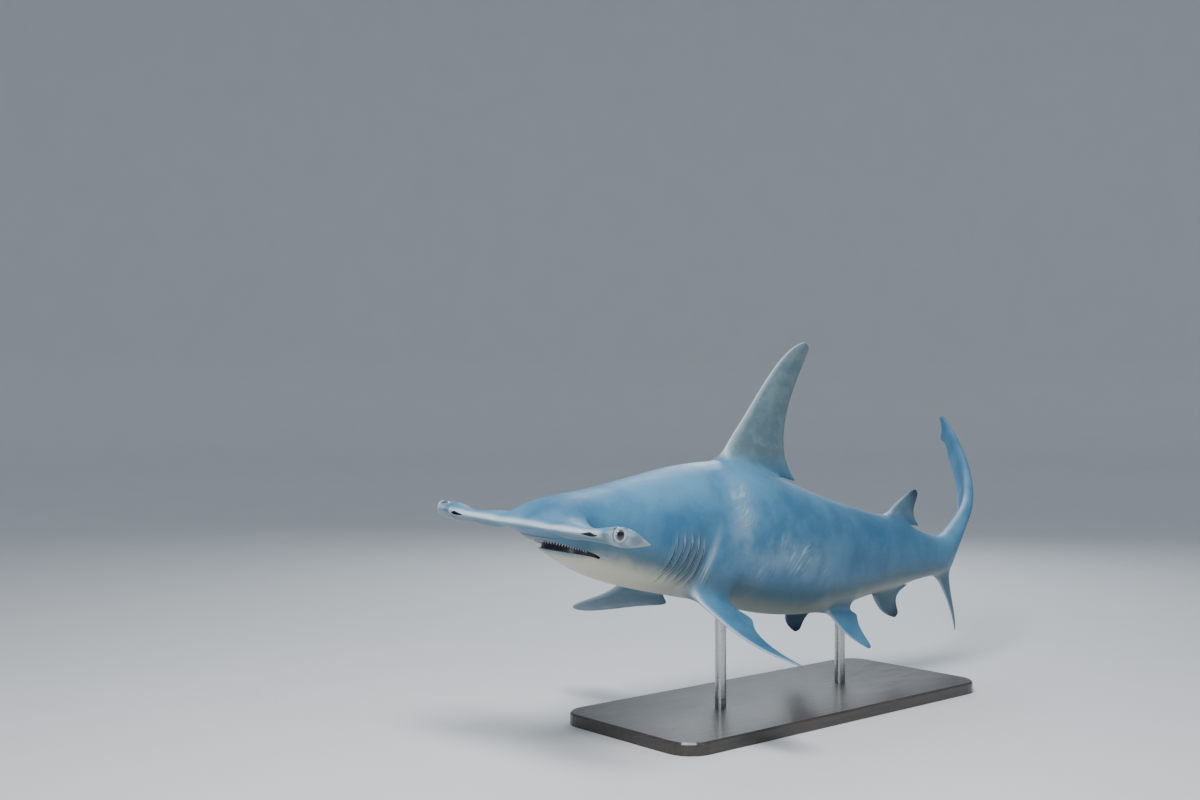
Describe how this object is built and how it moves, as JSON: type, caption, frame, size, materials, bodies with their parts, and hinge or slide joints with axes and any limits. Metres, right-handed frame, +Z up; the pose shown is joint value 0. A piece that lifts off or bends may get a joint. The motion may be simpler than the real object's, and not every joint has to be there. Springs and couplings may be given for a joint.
{
  "type": "hammerhead shark display model",
  "caption": "Life-size great hammerhead shark swimming with its tail curled to one side, held over a flat board by short upright rods.",
  "frame": {"origin": "middle of the bounding box in plan, on the underside of the stand's board", "axes": "+X is level and points the way the shark's back heads below its first dorsal fin, +Y is to its left, +Z is up"},
  "size_m": [2.812, 1.0898, 1.2736],
  "materials": {
    "hide": "satin, blue-grey above and cream-white below",
    "fin_hide": "satin, blue-grey with darker tips on the small fins",
    "eye_glass": "polished, dark pupil in a pale ring",
    "stand_board": "dark satin lacquer",
    "stand_steel": "brushed"
  },
  "bodies": {
    "root": {"head": "hide", "torso": "hide", "tail_stalk": "hide", "tail_fin": "fin_hide", "first_dorsal_fin": "fin_hide", "second_dorsal_fin": "fin_hide", "anal_fin": "fin_hide", "left_pectoral_fin": "fin_hide", "right_pectoral_fin": "fin_hide", "left_pelvic_fin": "fin_hide", "right_pelvic_fin": "fin_hide", "left_eye": "eye_glass", "right_eye": "eye_glass", "stand_base": "stand_board", "stand_rod_front": "stand_steel", "stand_rod_rear": "stand_steel"}
  },
  "joints": []
}
